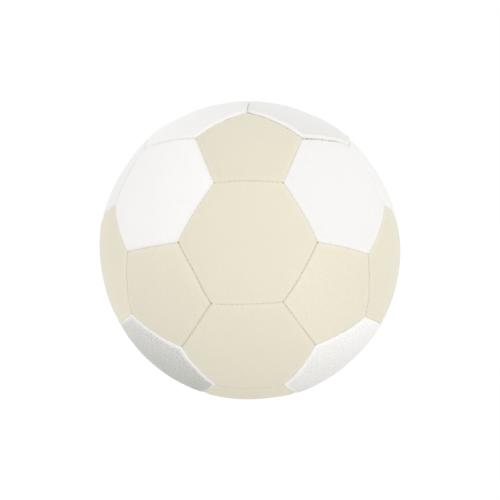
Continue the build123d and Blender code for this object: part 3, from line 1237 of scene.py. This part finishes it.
def lumpy(name, colour, scale, spread, distance, roughness, specular=0.3):
    """Foam, fibre or grit: a grain and a slower change of tone."""
    nodes = Nodes(name, specular, sheen=0.05)
    place = nodes.place()
    grain = nodes.noise(place, scale, 4.0, 0.65)
    slow = nodes.noise(place, scale / 18)
    colour_out = nodes.tinted(
        colour,
        nodes.between(grain, 1 - spread, 1 + spread * 0.6),
        nodes.between(slow, 1 - spread * 0.4, 1 + spread * 0.2),
    )
    rough = nodes.between(grain, roughness - 0.06, min(1.0, roughness + 0.06))
    return nodes.output(colour_out, grain, distance, rough)


def woven(name, colour, pitch, spread, distance):
    """Plain weave, over and under."""
    nodes = Nodes(name, 0.2, sheen=0.1)
    place = nodes.place()
    detail = {"Distortion": 0.8, "Detail Scale": 2.0}
    threads = [nodes.waves(place, direction, 2 * pitch, **detail) for direction in "XZ"]
    weave = nodes.math("MAXIMUM", *threads)
    slubs = nodes.noise(place, 350.0, 3.0, 0.6)
    colour_out = nodes.tinted(
        colour,
        nodes.between(weave, 1 - spread, 1 + spread * 0.4),
        nodes.between(slubs, 0.94, 1.03),
    )
    height = nodes.math("ADD", weave, nodes.product(slubs, 0.5))
    return nodes.output(colour_out, height, distance, nodes.between(slubs, 0.8, 0.92))


def make_materials():
    return {
        "cream_fabric": cover_cloth(
            "cream_cloth",
            colour=(0.761, 0.718, 0.587),
            shade=(0.756, 0.716, 0.585),
            grain=0.008,
            nap_scale=(330.0, 900.0, 1.0),
            nap_turn=0.0,
            nap_height=0.16,
        ),
        "white_fabric": cover_cloth(
            "white_brushed_cloth",
            colour=(0.875, 0.867, 0.85),
            shade=(0.875, 0.87, 0.815),
            grain=0.012,
            nap_scale=(1400.0, 450.0, 1.0),
            nap_turn=0.5,
            nap_height=0.25,
        ),
        "seam_thread": spun("seam_thread_cotton", (0.80, 0.76, 0.65), 900.0),
        "closing_thread": spun("closing_thread_cotton", (0.82, 0.78, 0.68), 900.0),
        "backing_foam": lumpy("foam_cells", (0.74, 0.71, 0.6), 700.0, 0.12, 0.3 * MM, 0.9),
        "lining_fabric": woven("lining_calico", (0.72, 0.69, 0.61), 0.6 * MM, 0.12, 0.06 * MM),
        "fibre_filling": lumpy("fibre_wadding", (0.8, 0.79, 0.76), 260.0, 0.1, 0.6 * MM, 0.95),
        "canvas": woven("weight_canvas", (0.55, 0.47, 0.33), 0.9 * MM, 0.2, 0.12 * MM),
        "tie_cord": spun("tie_cord_cotton", (0.72, 0.66, 0.52), 500.0, toned=False),
        "grit": lumpy("iron_grit", (0.13, 0.12, 0.115), 600.0, 0.35, 0.2 * MM, 0.55, 0.5),
    }


# ---- floor, light and camera ----

CAMERA_DISTANCE = 6.16 * BALL_RADIUS
CAMERA_TURN, CAMERA_ELEVATION = 0.5, 2.0  # degrees
LENS = 65.4
SKY_LIGHT = 0.955
SOFTBOX_PLACE = (35, 25)  # degrees round from the front, and up
SOFTBOX_DISTANCE, SOFTBOX_SIZE, SOFTBOX_POWER = 1.2, 0.9, 2.0


def aim(thing, away, distance):
    """Puts a light or camera at a distance from the middle of the ball, facing it."""
    thing.location = Vector(CENTRE + away * distance)
    thing.rotation_euler = Vector(-away).to_track_quat("-Z", "Y").to_euler()


def outward(azimuth, elevation):
    """The unit direction of an azimuth (0 is the front, 90 the ball's right) and an elevation."""
    a, e = math.radians(azimuth), math.radians(elevation)
    return np.array([math.sin(a) * math.cos(e), -math.cos(a) * math.cos(e), math.sin(e)])


def make_studio():
    scene = bpy.context.scene
    scene.view_settings.view_transform = "Standard"

    world = bpy.data.worlds.new("studio")
    world.use_nodes = True
    scene.world = world
    tree = world.node_tree
    seen, light = tree.nodes["Background"], tree.nodes.new("ShaderNodeBackground")
    for background, strength in ((seen, 1.0), (light, SKY_LIGHT)):
        background.inputs["Color"].default_value = (1, 1, 1, 1)
        background.inputs["Strength"].default_value = strength
    path, mix = tree.nodes.new("ShaderNodeLightPath"), tree.nodes.new("ShaderNodeMixShader")
    outputs = (path.outputs["Is Camera Ray"], light.outputs[0], seen.outputs[0])
    for i, output in enumerate(outputs):
        tree.links.new(output, mix.inputs[i])
    tree.links.new(mix.outputs[0], tree.nodes["World Output"].inputs["Surface"])

    # the floor: a wide disc, white to the camera and grey to the ball
    bm = bmesh.new()
    bmesh.ops.create_circle(bm, cap_ends=True, segments=96, radius=12.0)
    floor = bmesh_object("floor", bm)
    paint = Nodes("floor_paint", 0.1)
    mottle = paint.noise(paint.place(), 3.0)
    seen = paint.add("ShaderNodeLightPath").outputs["Is Camera Ray"]
    unseen = paint.math("SUBTRACT", 1.03, seen)
    colour = paint.tinted((0.32, 0.32, 0.32), paint.between(mottle, 0.99, 1.0), unseen)
    paint.give(paint.shader, "Base Color", colour)
    paint.give(paint.shader, "Roughness", 0.9)
    paint.give(paint.shader, "Emission Color", (1, 1, 1, 1))
    paint.give(paint.shader, "Emission Strength", paint.ranged(seen, 0.0, 1.0, 0.68, 1.0))
    floor.data.materials.append(paint.material)

    softbox = bpy.data.lights.new("key_softbox", "AREA")
    softbox.shape = "SQUARE"
    softbox.size = SOFTBOX_SIZE
    softbox.energy = SOFTBOX_POWER
    aim(linked("key_softbox", softbox), outward(*SOFTBOX_PLACE), SOFTBOX_DISTANCE)

    camera_data = bpy.data.cameras.new("camera")
    camera_data.lens = LENS
    camera_data.sensor_width = 36
    scene.camera = linked("camera", camera_data)
    aim(scene.camera, outward(CAMERA_TURN, CAMERA_ELEVATION), CAMERA_DISTANCE)


def main():
    pairs = pairs_at_seams(PANELS)
    for panel in PANELS:
        panel.meet(pairs)
    materials = make_materials()
    heights, seam_heights = cloth_heights(PANELS)
    for number, panel in enumerate(PANELS):
        make_panel(panel, heights, number, materials[panel.slot])
    make_threads(pairs, seam_heights, materials)
    make_pads(heights, materials["backing_foam"])
    make_lining(materials["lining_fabric"])
    make_filling(materials["fibre_filling"])
    make_weight_bag(materials["canvas"])
    make_cord(materials["tie_cord"])
    make_grit(materials["grit"])
    make_studio()


main()
